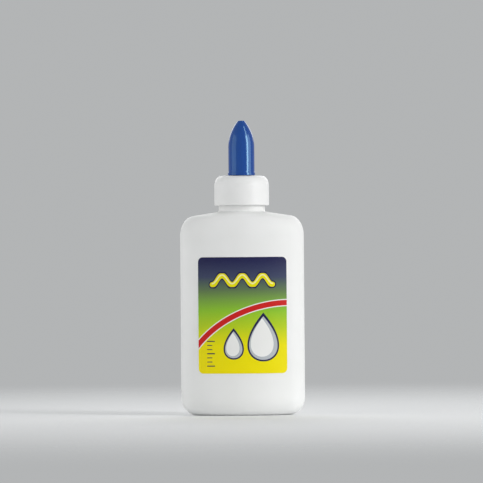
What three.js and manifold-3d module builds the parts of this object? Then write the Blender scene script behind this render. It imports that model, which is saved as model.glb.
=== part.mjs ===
// A squeeze bottle of white craft glue with a screw cap and a nozzle that rises to open.
// Millimetres, +Z up. The bottle stands on z = 0, centred on the Z axis, and its label faces -Y.
import * as THREE from "three";
import { mergeVertices } from "three/addons/utils/BufferGeometryUtils.js";
import Module from "manifold-3d";

// Bottle body
const BODY_WIDTH = 59.8;
const BODY_DEPTH = 34;
const BODY_WALL = 1.1;
const SIDE_RADIUS = 13; // plan radius of the rounded narrow sides
const LARGEST_SIDE_SHARE = 0.92; // the side radius stays under this share of half the depth
const BASE_CORNER_WIDTH = 8.4; // base edge as seen from the front
const BASE_CORNER_DEPTH = 5.5; // base edge as seen from the side
const BASE_CORNER_HEIGHT = 8.4;
const STANDING_RING = 2.6; // width of the flat ring that the bottle stands on
const PUSH_UP = 1.6; // rise of the hollow inside the standing ring
const SHOULDER_TOP = 98.4; // height where the shoulder meets the neck
const SHOULDER_CORNER_WIDTH = 6.9;
const SHOULDER_CORNER_HEIGHT = 9.5;
const SHOULDER_RISE = 1.9; // climb of the nearly level top of the shoulder

// Neck
const NECK_DIAMETER = 22.3;
const NECK_WALL = 2;
const NECK_HEIGHT = 14.4;
const LIP_CHAMFER = 0.5;

// Glue and label
const GLUE_CLEARANCE = 0.3;
const GLUE_DROP = 0.5; // level of the glue below the start of the shoulder
const LABEL_WIDTH = 43.9; // along the curve of the broad face
const LABEL_LOWER_MARGIN = 12;
const LABEL_UPPER_MARGIN = 10.5;
const LABEL_CORNER = 2.4;
const LABEL_THICKNESS = 0.15;
const LABEL_GAP = 0.1;

// Screw cap and its liner
const SKIRT_GAP = 3.1; // neck left showing between shoulder and cap
const THREAD_ROOM = 0.95; // radial room that the thread takes between neck and skirt
const SKIRT_WALL = 1.15;
const DECK_THICKNESS = 1.8;
const CAP_CORNER_WIDTH = 3.3;
const CAP_CORNER_HEIGHT = 5;
const LINER_THICKNESS = 0.8;
const LINER_BORE_RADIUS = 7;
const LINER_CLEARANCE = 0.25;
const SEAT_GAP = 0.2; // between faces that close on each other along the axis

// Nozzle
const NOZZLE_HEIGHT = 26.6;
const BARREL_RADIUS = 6.35; // of the straight barrel below the ogive
const BARREL_HEIGHT = 13.5;
const FOOT_FLARE = 0.25; // extra radius of the ring round the barrel's foot
const FOOT_HEIGHT = 1.1;
const FOOT_EASE = 1.1; // climb from the foot ring in to the barrel
const NOZZLE_TIP_RADIUS = 1.75;
const NOZZLE_WALL = 1.3;
const NOZZLE_TRAVEL = 2.5; // rise from closed to open
const TIP_ROUND = 0.3;
const RIB_RISE = 6; // inner retaining rib above the nozzle's base
const RIB_HEIGHT = 1.2;

// Spout, its stop bead, and the sealing pin on three webs
const RUN_GAP = 0.3; // between surfaces that slide on each other
const BEAD_DEPTH = 0.55;
const BEAD_HEIGHT = 1.4;
const SPOUT_WALL = 0.9;
const SPOUT_ABOVE_BEAD = 3.4;
const PIN_RADIUS = 0.9;
const PIN_ROOT_RADIUS = 1.5;
const PIN_SINK = 0.2; // pin's end below the nozzle's tip when closed
const PIN_ROUND = 0.3;
const WEB_COUNT = 3;
const WEB_THICKNESS = 0.9;
const WEB_HEIGHT = 2.4;
const WEB_DROP = 0.4; // webs below the spout's rim

// Facets
const QUADRANT_STEPS = 12;
const CORNER_STEPS = 6;
const LEDGE_STEPS = 4;
const HOLLOW_STEPS = 4;
const LABEL_STEPS = 14;
const LATHE_STEPS = 48;

// Places that follow from the sizes
const halfWidth = BODY_WIDTH / 2;
const halfDepth = BODY_DEPTH / 2;
const sideRadius = Math.min(SIDE_RADIUS, halfDepth * LARGEST_SIDE_SHARE);
const frontRadius =
  (halfWidth ** 2 + halfDepth ** 2 - 2 * halfWidth * sideRadius) / (2 * (halfDepth - sideRadius));
const sideSweep = Math.atan2(frontRadius - halfDepth, halfWidth - sideRadius);
const frontSweep = Math.PI / 2 - sideSweep;
const neckRadius = NECK_DIAMETER / 2;
const neckBore = neckRadius - NECK_WALL;
const shoulderStart = SHOULDER_TOP - SHOULDER_RISE - SHOULDER_CORNER_HEIGHT;
const lipHeight = SHOULDER_TOP + NECK_HEIGHT;
const linerTop = lipHeight + SEAT_GAP + LINER_THICKNESS;
const deckUnderside = linerTop + SEAT_GAP;
const deckTop = deckUnderside + DECK_THICKNESS;
const skirtBottom = SHOULDER_TOP + SKIRT_GAP;
const capBore = neckRadius + THREAD_ROOM;
const capRadius = capBore + SKIRT_WALL;
const capCornerCentre = new THREE.Vector2(capRadius - CAP_CORNER_WIDTH, deckTop - CAP_CORNER_HEIGHT);
const capInnerCornerWidth = CAP_CORNER_WIDTH - SKIRT_WALL;
const capInnerCornerHeight = CAP_CORNER_HEIGHT - DECK_THICKNESS;
const nozzleBase = deckTop + SEAT_GAP;
const nozzleTip = nozzleBase + NOZZLE_HEIGHT;
const nozzleBore = BARREL_RADIUS - NOZZLE_WALL;
const ribTop = nozzleBase + RIB_RISE + RIB_HEIGHT;
const beadRadius = nozzleBore - RUN_GAP;
const spoutRadius = beadRadius - BEAD_DEPTH;
const spoutBore = spoutRadius - SPOUT_WALL;
const beadBottom = ribTop + NOZZLE_TRAVEL + SEAT_GAP;
const beadTop = beadBottom + BEAD_HEIGHT;
const spoutTop = beadTop + SPOUT_ABOVE_BEAD;
const pinTop = nozzleTip - PIN_SINK;
const orificeRadius = PIN_RADIUS + RUN_GAP;

const wasm = await Module();
wasm.setup();

function lerp(from, to, share) {
  return from + (to - from) * share;
}

// Shares from 0 to 1 in equal steps, both ends included.
function shares(count) {
  return Array.from({ length: count + 1 }, (_, i) => i / count);
}

// Point of an ellipse at an angle from the outward radius.
function ellipsePoint(centre, radiusAcross, radiusUp, angle) {
  return new THREE.Vector2(
    centre.x + radiusAcross * Math.cos(angle),
    centre.y + radiusUp * Math.sin(angle),
  );
}

function ellipseArc(centre, radiusAcross, radiusUp, from, to) {
  return shares(CORNER_STEPS).map((share) =>
    ellipsePoint(centre, radiusAcross, radiusUp, lerp(from, to, share)),
  );
}

// One quarter of the body's plan outline, from the side's middle to the front's middle: a tight arc, then a
// broad one that meets it smoothly. The share runs along the length of the two arcs.
function quarterOutline(share) {
  const sideLength = sideRadius * sideSweep;
  const frontLength = frontRadius * frontSweep;
  const along = share * (sideLength + frontLength);
  if (along < sideLength) {
    const angle = along / sideRadius;
    return new THREE.Vector2(
      halfWidth - sideRadius + sideRadius * Math.cos(angle),
      sideRadius * Math.sin(angle),
    );
  }
  const angle = sideSweep + (along - sideLength) / frontRadius;
  return new THREE.Vector2(
    frontRadius * Math.cos(angle),
    frontRadius * Math.sin(angle) - (frontRadius - halfDepth),
  );
}

// Outline points all round, scaled to a half width and half depth of 1, beside the points of a unit circle.
function unitOutline() {
  const count = 4 * QUADRANT_STEPS;
  return Array.from({ length: count }, (_, i) => {
    const quadrant = Math.floor(i / QUADRANT_STEPS);
    const step = i % QUADRANT_STEPS;
    const mirrored = quadrant % 2 === 1;
    const corner = quarterOutline((mirrored ? QUADRANT_STEPS - step : step) / QUADRANT_STEPS);
    const signX = quadrant === 1 || quadrant === 2 ? -1 : 1;
    const signY = quadrant >= 2 ? -1 : 1;
    const angle = (i / count) * 2 * Math.PI;
    return {
      oval: new THREE.Vector2((signX * corner.x) / halfWidth, (signY * corner.y) / halfDepth),
      circle: new THREE.Vector2(Math.cos(angle), Math.sin(angle)),
    };
  });
}

const outline = unitOutline();

// A level ring of points. Roundness 0 gives the body's oval, and 1 an ellipse.
function ring({ width, depth, height, roundness = 0 }) {
  return outline.map(
    ({ oval, circle }) =>
      new THREE.Vector3(
        width * lerp(oval.x, circle.x, roundness),
        depth * lerp(oval.y, circle.y, roundness),
        height,
      ),
  );
}

function roundRing(radius, height) {
  return ring({ width: radius, depth: radius, height, roundness: 1 });
}

// A closed skin over a row of rings, each joined to the next, with both ends closed flat.
function loft(rings) {
  const count = rings[0].length;
  const points = rings.flat();
  const triangles = [];
  for (let level = 0; level + 1 < rings.length; level++) {
    for (let i = 0; i < count; i++) {
      const next = (i + 1) % count;
      const a = level * count + i;
      const b = level * count + next;
      const c = b + count;
      const d = a + count;
      triangles.push(a, b, c, a, c, d);
    }
  }
  for (const [level, flipped] of [[0, true], [rings.length - 1, false]]) {
    const centre = new THREE.Vector3();
    rings[level].forEach((point) => centre.add(point));
    points.push(centre.divideScalar(count));
    for (let i = 0; i < count; i++) {
      const here = level * count + i;
      const next = level * count + ((i + 1) % count);
      triangles.push(points.length - 1, flipped ? next : here, flipped ? here : next);
    }
  }
  return new THREE.BufferGeometry().setFromPoints(points).setIndex(triangles);
}

// A turned solid about the Z axis from a profile of (radius, height) points.
function turned(profile) {
  return new THREE.LatheGeometry(profile, LATHE_STEPS).rotateX(Math.PI / 2);
}

function closed(profile) {
  return [...profile, profile[0].clone()];
}

function point(radius, height) {
  return new THREE.Vector2(radius, height);
}

function solidOf(geometry) {
  const bare = geometry.clone();
  bare.deleteAttribute("normal");
  bare.deleteAttribute("uv");
  const merged = mergeVertices(bare);
  return new wasm.Manifold(
    new wasm.Mesh({
      numProp: 3,
      vertProperties: merged.attributes.position.array,
      triVerts: new Uint32Array(merged.index.array),
    }),
  );
}

function geometryOf(solid) {
  const mesh = solid.getMesh();
  return new THREE.BufferGeometry()
    .setAttribute("position", new THREE.BufferAttribute(mesh.vertProperties, 3))
    .setIndex(new THREE.BufferAttribute(mesh.triVerts, 1));
}

// Sections of the base, from its middle out over the push-up and standing ring to the top of the base edge.
function baseSections(inset) {
  const footWidth = halfWidth - BASE_CORNER_WIDTH;
  const footDepth = halfDepth - BASE_CORNER_DEPTH;
  const hollow = shares(HOLLOW_STEPS)
    .slice(1)
    .map((share) => ({
      width: (footWidth - STANDING_RING) * share,
      depth: (footDepth - STANDING_RING) * share,
      height: inset + PUSH_UP * Math.cos((share * Math.PI) / 2),
    }));
  const edge = shares(CORNER_STEPS).map((share) => {
    const angle = (share * Math.PI) / 2;
    return {
      width: footWidth + (BASE_CORNER_WIDTH - inset) * Math.sin(angle),
      depth: footDepth + (BASE_CORNER_DEPTH - inset) * Math.sin(angle),
      height: inset + (BASE_CORNER_HEIGHT - inset) * (1 - Math.cos(angle)),
    };
  });
  return [...hollow, ...edge];
}

// Sections of the shoulder, from its start up round the corner and in to the root of the neck. Seen from the
// front, the corner is an ellipse and the nearly level top leaves it along its tangent. Seen from the side, one
// quarter of an ellipse leads from the wall to the neck.
function shoulderSections(inset, rootRadius) {
  const widest = halfWidth - inset;
  const deepest = halfDepth - inset;
  const rise = SHOULDER_TOP - inset - shoulderStart;
  const centre = new THREE.Vector2(widest - SHOULDER_CORNER_WIDTH, shoulderStart);
  const cornerHeight = SHOULDER_CORNER_HEIGHT - inset;
  const root = new THREE.Vector2(
    (rootRadius - centre.x) / SHOULDER_CORNER_WIDTH,
    rise / cornerHeight,
  );
  const cornerEnd = Math.atan2(root.y, root.x) - Math.acos(1 / root.length());
  const corner = ellipseArc(centre, SHOULDER_CORNER_WIDTH, cornerHeight, 0, cornerEnd);
  const edge = corner[corner.length - 1];
  const ledge = shares(LEDGE_STEPS)
    .slice(1)
    .map((share) => {
      const eased = Math.sin((share * Math.PI) / 2);
      return point(lerp(edge.x, rootRadius, eased), lerp(edge.y, shoulderStart + rise, eased));
    });
  return [...corner, ...ledge].map(({ x: width, y: height }) => {
    const climbed = Math.min((height - shoulderStart) / rise, 1);
    return {
      width,
      depth: lerp(rootRadius, deepest, Math.sqrt(1 - climbed ** 2)),
      height,
      roundness: (widest - width) / (widest - rootRadius),
    };
  });
}

// One blow-moulded shell: up the outside, over the lip, down the bore and the inside to the floor.
function bottleGeometry() {
  const outside = [...baseSections(0), ...shoulderSections(0, neckRadius)].map(ring);
  const inside = [...baseSections(BODY_WALL), ...shoulderSections(BODY_WALL, neckBore)].map(ring);
  const lip = [
    roundRing(neckRadius, lipHeight - LIP_CHAMFER),
    roundRing(neckRadius - LIP_CHAMFER, lipHeight),
    roundRing(neckBore, lipHeight),
  ];
  return loft([...outside, ...lip, ...inside.reverse()]);
}

function glueGeometry() {
  const inset = BODY_WALL + GLUE_CLEARANCE;
  const surface = {
    width: halfWidth - inset,
    depth: halfDepth - inset,
    height: shoulderStart - GLUE_DROP,
  };
  return loft([...baseSections(inset), surface].map(ring));
}

// Point at a distance along the body's outline from the middle of the front, set out by the given lift.
function frontPoint(along, lift) {
  const frontLength = frontRadius * frontSweep;
  const distance = Math.abs(along);
  const side = Math.sign(along);
  if (distance <= frontLength) {
    const angle = distance / frontRadius;
    const radius = frontRadius + lift;
    return new THREE.Vector2(
      side * radius * Math.sin(angle),
      frontRadius - halfDepth - radius * Math.cos(angle),
    );
  }
  const angle = frontSweep + (distance - frontLength) / sideRadius;
  const radius = sideRadius + lift;
  return new THREE.Vector2(
    side * (halfWidth - sideRadius + radius * Math.sin(angle)),
    -radius * Math.cos(angle),
  );
}

// A thin sheet wrapped on the broad face, made of upright columns. Those in the rounded corners are shorter.
function labelGeometry() {
  const bottom = BASE_CORNER_HEIGHT + LABEL_LOWER_MARGIN;
  const top = shoulderStart - LABEL_UPPER_MARGIN;
  const straight = LABEL_WIDTH / 2 - LABEL_CORNER;
  const rounded = shares(CORNER_STEPS).map((share) => {
    const angle = (share * Math.PI) / 2;
    return {
      along: straight + LABEL_CORNER * Math.sin(angle),
      cut: LABEL_CORNER * (1 - Math.cos(angle)),
    };
  });
  const level = shares(LABEL_STEPS)
    .slice(1, -1)
    .map((share) => ({ along: lerp(-straight, straight, share), cut: 0 }));
  const left = rounded.map(({ along, cut }) => ({ along: -along, cut })).reverse();
  const column = ({ along, cut }) => {
    const inner = frontPoint(along, LABEL_GAP);
    const outer = frontPoint(along, LABEL_GAP + LABEL_THICKNESS);
    return [
      new THREE.Vector3(outer.x, outer.y, bottom + cut),
      new THREE.Vector3(inner.x, inner.y, bottom + cut),
      new THREE.Vector3(inner.x, inner.y, top - cut),
      new THREE.Vector3(outer.x, outer.y, top - cut),
    ];
  };
  return loft([...left, ...level, ...rounded].map(column));
}

function linerGeometry() {
  const reach = (linerTop - capCornerCentre.y) / capInnerCornerHeight;
  const roundedRadius = capCornerCentre.x + capInnerCornerWidth * Math.sqrt(1 - reach ** 2);
  const outerRadius = roundedRadius - LINER_CLEARANCE;
  const bottom = lipHeight + SEAT_GAP;
  return turned(
    closed([
      point(LINER_BORE_RADIUS, bottom),
      point(outerRadius, bottom),
      point(outerRadius, linerTop),
      point(LINER_BORE_RADIUS, linerTop),
    ]),
  );
}

// Skirt, deck and spout in one turned profile. The stop bead is square below and sloped above, so that the
// nozzle snaps over it once and stays on.
function capShellGeometry() {
  const outerCorner = ellipseArc(capCornerCentre, CAP_CORNER_WIDTH, CAP_CORNER_HEIGHT, 0, Math.PI / 2);
  const innerCorner = ellipseArc(
    capCornerCentre,
    capInnerCornerWidth,
    capInnerCornerHeight,
    Math.PI / 2,
    0,
  );
  return turned(
    closed([
      point(capBore, skirtBottom),
      point(capRadius, skirtBottom),
      ...outerCorner,
      point(spoutRadius, deckTop),
      point(spoutRadius, beadBottom),
      point(beadRadius, beadBottom),
      point(beadRadius, beadTop - BEAD_DEPTH),
      point(spoutRadius, beadTop),
      point(spoutRadius, spoutTop),
      point(spoutBore, spoutTop),
      point(spoutBore, deckUnderside),
      ...innerCorner,
    ]),
  );
}

function pinGeometry() {
  const bottom = spoutTop - WEB_DROP - WEB_HEIGHT;
  return turned([
    point(0, bottom),
    point(PIN_ROOT_RADIUS, bottom),
    point(PIN_ROOT_RADIUS, spoutTop),
    point(PIN_RADIUS, pinTop - NOZZLE_TRAVEL),
    point(PIN_RADIUS, pinTop - PIN_ROUND),
    point(PIN_RADIUS - PIN_ROUND, pinTop),
    point(0, pinTop),
  ]);
}

function webGeometry(index) {
  const length = spoutBore + SPOUT_WALL / 2;
  const middle = spoutTop - WEB_DROP - WEB_HEIGHT / 2;
  return new THREE.BoxGeometry(length, WEB_THICKNESS, WEB_HEIGHT)
    .translate(length / 2, 0, middle)
    .rotateZ((index / WEB_COUNT) * 2 * Math.PI);
}

function capGeometry() {
  let cap = solidOf(capShellGeometry()).add(solidOf(pinGeometry()));
  for (let index = 0; index < WEB_COUNT; index++) {
    cap = cap.add(solidOf(webGeometry(index)));
  }
  return geometryOf(cap);
}

// A hollow bullet: a barrel on a flared foot, then an ogive whose inner and outer arcs share one centre.
function nozzleGeometry() {
  const footRadius = BARREL_RADIUS + FOOT_FLARE;
  const footTop = nozzleBase + FOOT_HEIGHT;
  const shoulder = nozzleTip - TIP_ROUND;
  const barrelTop = nozzleBase + BARREL_HEIGHT;
  const rise = shoulder - barrelTop;
  const fall = BARREL_RADIUS - NOZZLE_TIP_RADIUS;
  const outerArc = (rise ** 2 + fall ** 2) / (2 * fall);
  const innerArc = outerArc - NOZZLE_WALL;
  const centre = new THREE.Vector2(BARREL_RADIUS - outerArc, barrelTop);
  const outerEnd = Math.asin(rise / outerArc);
  const innerEnd = Math.acos((orificeRadius - centre.x) / innerArc);
  const ribRadius = spoutRadius + RUN_GAP;
  const ribDepth = nozzleBore - ribRadius;
  const ribBottom = ribTop - RIB_HEIGHT;
  return turned(
    closed([
      point(nozzleBore, nozzleBase),
      point(footRadius, nozzleBase),
      point(footRadius, footTop),
      point(BARREL_RADIUS, footTop + FOOT_EASE),
      ...ellipseArc(centre, outerArc, outerArc, 0, outerEnd),
      point(NOZZLE_TIP_RADIUS - TIP_ROUND, nozzleTip),
      point(orificeRadius, nozzleTip),
      ...ellipseArc(centre, innerArc, innerArc, innerEnd, 0),
      point(nozzleBore, ribTop),
      point(ribRadius, ribTop),
      point(ribRadius, ribBottom + ribDepth),
      point(nozzleBore, ribBottom),
    ]),
  );
}

function named(name, geometry, color, roughness) {
  const material = new THREE.MeshStandardMaterial({ color, roughness, metalness: 0 });
  const mesh = new THREE.Mesh(geometry, material);
  mesh.name = name;
  return mesh;
}

const WHITE_BODY = 0xf1f2f0;
const WHITE_CAP = 0xf4f4f2;
const DEEP_BLUE = 0x1d3f92;
const LEAF_GREEN = 0x8cc02f;
const PALE_GREY = 0xe4e4e0;
const GLUE_WHITE = 0xfbfaf4;

const part = new THREE.Group();
part.add(
  named("bottle", bottleGeometry(), WHITE_BODY, 0.4),
  named("glue", glueGeometry(), GLUE_WHITE, 0.25),
  named("front_label", labelGeometry(), LEAF_GREEN, 0.35),
  named("cap_liner", linerGeometry(), PALE_GREY, 0.8),
  named("screw_cap", capGeometry(), WHITE_CAP, 0.35),
  named("nozzle", nozzleGeometry(), DEEP_BLUE, 0.2),
);

export default part;
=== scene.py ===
import math

import bmesh
import bpy
import numpy as np
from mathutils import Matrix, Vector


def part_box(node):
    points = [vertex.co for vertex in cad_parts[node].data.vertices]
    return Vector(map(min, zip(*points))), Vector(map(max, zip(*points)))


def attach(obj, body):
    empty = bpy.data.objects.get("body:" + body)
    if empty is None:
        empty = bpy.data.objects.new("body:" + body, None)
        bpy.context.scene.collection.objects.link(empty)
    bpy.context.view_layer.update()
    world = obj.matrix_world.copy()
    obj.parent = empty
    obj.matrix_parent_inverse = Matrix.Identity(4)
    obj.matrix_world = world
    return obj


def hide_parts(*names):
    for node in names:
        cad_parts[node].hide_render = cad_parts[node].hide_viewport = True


# Looks of a squeeze bottle of white craft glue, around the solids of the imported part.
# Sizes and places are in millimetres, +Z up with the label facing -Y, and Blender gets them in metres.
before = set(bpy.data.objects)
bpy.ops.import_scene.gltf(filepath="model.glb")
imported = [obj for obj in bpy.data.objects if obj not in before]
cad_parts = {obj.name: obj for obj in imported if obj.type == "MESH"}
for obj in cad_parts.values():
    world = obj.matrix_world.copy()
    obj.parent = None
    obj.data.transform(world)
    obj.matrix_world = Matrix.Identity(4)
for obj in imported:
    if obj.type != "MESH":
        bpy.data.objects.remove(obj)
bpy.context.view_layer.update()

MM = 0.001
TAU = 2 * math.pi
QUARTER = TAU / 4


def solid_box(node):
    """Lowest and highest corner of a solid."""
    low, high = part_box(node)
    return np.array(low) / MM, np.array(high) / MM


# Places read from the solids
half_width, half_depth, lip = solid_box("bottle")[1]
glue_level = solid_box("glue")[1][2]
label_bottom = solid_box("front_label")[0][2]
label_top = solid_box("front_label")[1][2]
skirt_bottom = solid_box("screw_cap")[0][2]
cap_radius, _, pin_top = solid_box("screw_cap")[1]
nozzle_base = solid_box("nozzle")[0][2]
nozzle_foot, _, nozzle_tip = solid_box("nozzle")[1]
liner_bottom = solid_box("cap_liner")[0][2]
liner_radius, _, liner_top = solid_box("cap_liner")[1]

# Bottle body and neck
BODY_WALL = 1.1
SIDE_RADIUS = 13
BASE_CORNER_WIDTH = 8.4
BASE_CORNER_DEPTH = 5.5
BASE_CORNER_HEIGHT = 8.4
STANDING_RING = 2.6
PUSH_UP = 1.6
SHOULDER_TOP = 98.4
SHOULDER_CORNER_WIDTH = 6.9
SHOULDER_CORNER_HEIGHT = 9.5
SHOULDER_RISE = 1.9
NECK_RADIUS = 11.15
NECK_BORE = 9.15
NECK_FILLET = 0.8
LIP_ROUND = 0.45

# Mould seam up the narrow sides and across the base
SEAM_COUNT = 2
SEAM_HALF_WIDTH = 0.35
SEAM_HEIGHT = 0.1
PINCH_HEIGHT = 0.3
PINCH_FADE = 6

# Slight waves of a blown wall: how fast each one turns along x, y and z, in radians a millimetre
WAVE_DEPTH = 0.05
WAVE_RATES = ((0.11, 0, 0.07), (-0.05, 0.12, 0.19), (0, 0.23, -0.09))

# Cap thread: a right-hand single start, with its lead-in and vents as shares of a turn
PITCH = 3.175
THREAD_ROOT = 1.7
THREAD_CREST = 0.7
NECK_THREAD_HEIGHT = 0.65
NECK_THREAD_TURNS = 1.5
NECK_THREAD_DROP = 7.4
CAP_THREAD_ROOT = 1.2
CAP_THREAD_CREST = 0.5
CAP_THREAD_HEIGHT = 0.6
CAP_THREAD_TURNS = 1.25
THREAD_LEAD = 0.08
THREAD_VENT = 0.025

# Glue and label
GLUE_INSET = 1.4
MENISCUS_DROP = 0.7
MENISCUS_REACH = 1.8
LABEL_WIDTH = 43.9
LABEL_CORNER = 2.4
LABEL_BACK = 0.03
LABEL_FRONT = 0.2

# Screw cap, spout, sealing pin, nozzle and liner
SEAT_GAP = 0.2
CAP_BORE = 12.1
DECK_THICKNESS = 1.8
CAP_CORNER_WIDTH = 3.3
CAP_CORNER_HEIGHT = 5
SKIRT_EDGE = 0.45
BARREL_RADIUS = 6.35
BARREL_HEIGHT = 13.5
NOZZLE_TIP_RADIUS = 1.75
NOZZLE_WALL = 1.3
NOZZLE_TRAVEL = 2.5
NOZZLE_EDGE = 0.3
MOUTH_EDGE = 0.1
FOOT_HEIGHT = 1.1
FOOT_EASE = 1.1
RUN_GAP = 0.3
RIB_RISE = 6
RIB_HEIGHT = 1.2
BEAD_DEPTH = 0.55
BEAD_HEIGHT = 1.4
SPOUT_WALL = 0.9
SPOUT_ABOVE_BEAD = 3.4
SPOUT_EDGE = 0.2
PIN_RADIUS = 0.9
PIN_ROOT_RADIUS = 1.5
PIN_ROUND = 0.3
WEB_COUNT = 3
WEB_THICKNESS = 0.9
WEB_HEIGHT = 2.4
WEB_DROP = 0.4
LINER_BORE = 7
LINER_ROUND = 0.2

# Places that follow from the sizes
front_radius = (half_width**2 + half_depth**2 - 2 * half_width * SIDE_RADIUS) / (
    2 * (half_depth - SIDE_RADIUS)
)
side_sweep = math.atan2(front_radius - half_depth, half_width - SIDE_RADIUS)
front_sweep = QUARTER - side_sweep
side_length = SIDE_RADIUS * side_sweep
front_length = front_radius * front_sweep
shoulder_start = SHOULDER_TOP - SHOULDER_RISE - SHOULDER_CORNER_HEIGHT
neck_bottom = SHOULDER_TOP + 2 * NECK_FILLET
deck_top = nozzle_base - SEAT_GAP
deck_underside = deck_top - DECK_THICKNESS
nozzle_bore = BARREL_RADIUS - NOZZLE_WALL
rib_top = nozzle_base + RIB_RISE + RIB_HEIGHT
bead_radius = nozzle_bore - RUN_GAP
spout_radius = bead_radius - BEAD_DEPTH
spout_bore = spout_radius - SPOUT_WALL
bead_bottom = rib_top + NOZZLE_TRAVEL + SEAT_GAP
bead_top = bead_bottom + BEAD_HEIGHT
spout_top = bead_top + SPOUT_ABOVE_BEAD
web_top = spout_top - WEB_DROP
web_bottom = web_top - WEB_HEIGHT
orifice_radius = PIN_RADIUS + RUN_GAP
neck_thread_start = lip - NECK_THREAD_DROP
cap_thread_start = neck_thread_start - PITCH / 2


# Meshes

CORNER_ROWS = 7
THREAD_ROW = 0.13
SHARP_ANGLE = math.radians(50)


def eased(share):
    """A share held to 0 and 1 that starts and ends gently."""
    held = np.clip(share, 0, 1)
    return held * held * (3 - 2 * held)


def soft_curve(start, corner, end, share):
    """Place along a curve from start to end that bends round a corner."""
    return (1 - share) ** 2 * start + 2 * share * (1 - share) * corner + share**2 * end


def ring_faces(rows, columns, closed=False):
    """Quads over rows of points that go all round, closed when the last row meets the first again."""
    row = np.arange(rows if closed else rows - 1)[:, None]
    column = np.arange(columns)[None, :]
    after = (column + 1) % columns
    above = (row + 1) % rows
    corners = [
        row * columns + column,
        row * columns + after,
        above * columns + after,
        above * columns + column,
    ]
    return np.stack(np.broadcast_arrays(*corners), axis=-1).reshape(-1, 4).tolist()


def capped_mesh(rows, first_pole, last_pole):
    """Points and faces of rows that go all round, closed by a pole at each end."""
    count, columns, _ = rows.shape
    points = np.concatenate([rows.reshape(-1, 3), [first_pole, last_pole]])
    faces = ring_faces(count, columns)
    first, last = count * columns, count * columns + 1
    top = (count - 1) * columns
    for here in range(columns):
        after = (here + 1) % columns
        faces.append([first, after, here])
        faces.append([last, top + here, top + after])
    return points, faces


def mesh_object(name, points, faces):
    """A smooth object in the scene, from points and faces."""
    mesh = bpy.data.meshes.new(name)
    mesh.from_pydata((np.asarray(points) * MM).tolist(), [], faces)
    mesh.shade_smooth()
    made = bpy.data.objects.new(name, mesh)
    bpy.context.scene.collection.objects.link(made)
    return made


def dress(piece, node, body, slot, *materials):
    """Puts a piece in the place of a solid, on that solid's body, with its materials."""
    for material in materials:
        piece.data.materials.append(material)
    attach(piece, body)
    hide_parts(node)


def soft_profile(corners, step):
    """A closed profile of (radius, height) points. Each corner (radius, height, reach) is rounded over its
    reach along both its sides, and long straight runs are divided into steps."""
    places = np.array([corner[:2] for corner in corners], float)
    curve = []
    for index, (_, _, reach) in enumerate(corners):
        here = places[index]
        if not reach:
            curve.append(here)
            continue
        before = places[index - 1] - here
        after = places[(index + 1) % len(places)] - here
        start = here + before / np.linalg.norm(before) * reach
        end = here + after / np.linalg.norm(after) * reach
        curve += [soft_curve(start, here, end, share) for share in np.linspace(0, 1, CORNER_ROWS)]
    divided = []
    for here, after in zip(curve, curve[1:] + curve[:1]):
        count = max(1, math.ceil(np.linalg.norm(after - here) / step))
        divided += [here + (after - here) * k / count for k in range(count)]
    return np.array(divided)


def turned(profile, columns):
    """Rows of points from a profile of (radius, height), turned about the Z axis."""
    angle = TAU * np.arange(columns) / columns
    radius, height = profile[:, [0]], profile[:, [1]]
    return np.stack(np.broadcast_arrays(radius * np.cos(angle), radius * np.sin(angle), height), axis=-1)


def ellipse_arc(centre, across, up, start, end, count):
    """Corners for soft_profile along part of an ellipse."""
    angles = np.linspace(start, end, count)
    return [(centre[0] + across * math.cos(a), centre[1] + up * math.sin(a), 0) for a in angles]


def thread_ridge(points, start, turns, root, crest):
    """Height of a screw thread, as a share of the full ridge, at points round the Z axis."""
    around = (np.arctan2(points[..., 1], points[..., 0]) / TAU) % 1
    ridge = np.zeros(around.shape)
    for lap in range(math.ceil(turns)):
        along = around + lap
        offset = np.abs(points[..., 2] - start - PITCH * along)
        flank = eased((root / 2 - offset) / (root / 2 - crest / 2))
        ends = eased(along / THREAD_LEAD) * eased((turns - along) / THREAD_LEAD)
        ridge = np.maximum(ridge, flank * ends)
    return ridge


def thread_vents(points):
    """Share of the thread that is left beside the gaps that cross it at the mould seams."""
    around = np.arctan2(points[..., 1], points[..., 0]) / TAU
    spacing = 1 / SEAM_COUNT
    from_seam = np.abs((around + spacing / 2) % spacing - spacing / 2)
    return eased((from_seam - THREAD_VENT / 2) / THREAD_VENT)


def pushed_outwards(points, distance):
    """Points moved away from the Z axis."""
    radius = np.hypot(points[..., 0], points[..., 1])[..., None]
    outward = np.concatenate([points[..., :2] / radius, np.zeros_like(radius)], axis=-1)
    return points + outward * distance[..., None]


# Bottle and glue

BODY_COLUMNS = 176
BASE_ROWS = 16
WALL_ROWS = 54
SHOULDER_ROWS = 26
FILLET_ROWS = 9
INNER_BASE_ROWS = 8
INNER_WALL_ROWS = 8
INNER_SHOULDER_ROWS = 14
GLUE_BASE_ROWS = 10
GLUE_SIDE_ROWS = 20
GLUE_TOP_ROWS = 20
# Closer columns beside each seam, over a share of a turn, and the digits at which two columns count as one
SEAM_COLUMNS = 15
SEAM_SPREAD = 0.0045
TURN_DIGITS = 6
# The shoulder's rows towards the neck are spaced by a sine that ends at this angle
LEDGE_END = 1.18
# A soft row reaches no further than this share of the way to the next row
SOFT_ROW_LIMIT = 0.9
SMALLEST_LENGTH = 1e-9


def body_turns():
    """Shares of a full turn where the body's outline has points, closer together at the mould seams."""
    even = np.arange(BODY_COLUMNS) / BODY_COLUMNS
    close = np.linspace(-SEAM_SPREAD, SEAM_SPREAD, SEAM_COLUMNS)
    seams = [close + index / SEAM_COUNT for index in range(SEAM_COUNT)]
    return np.unique(np.round(np.concatenate([even, *seams]) % 1, TURN_DIGITS))


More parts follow.
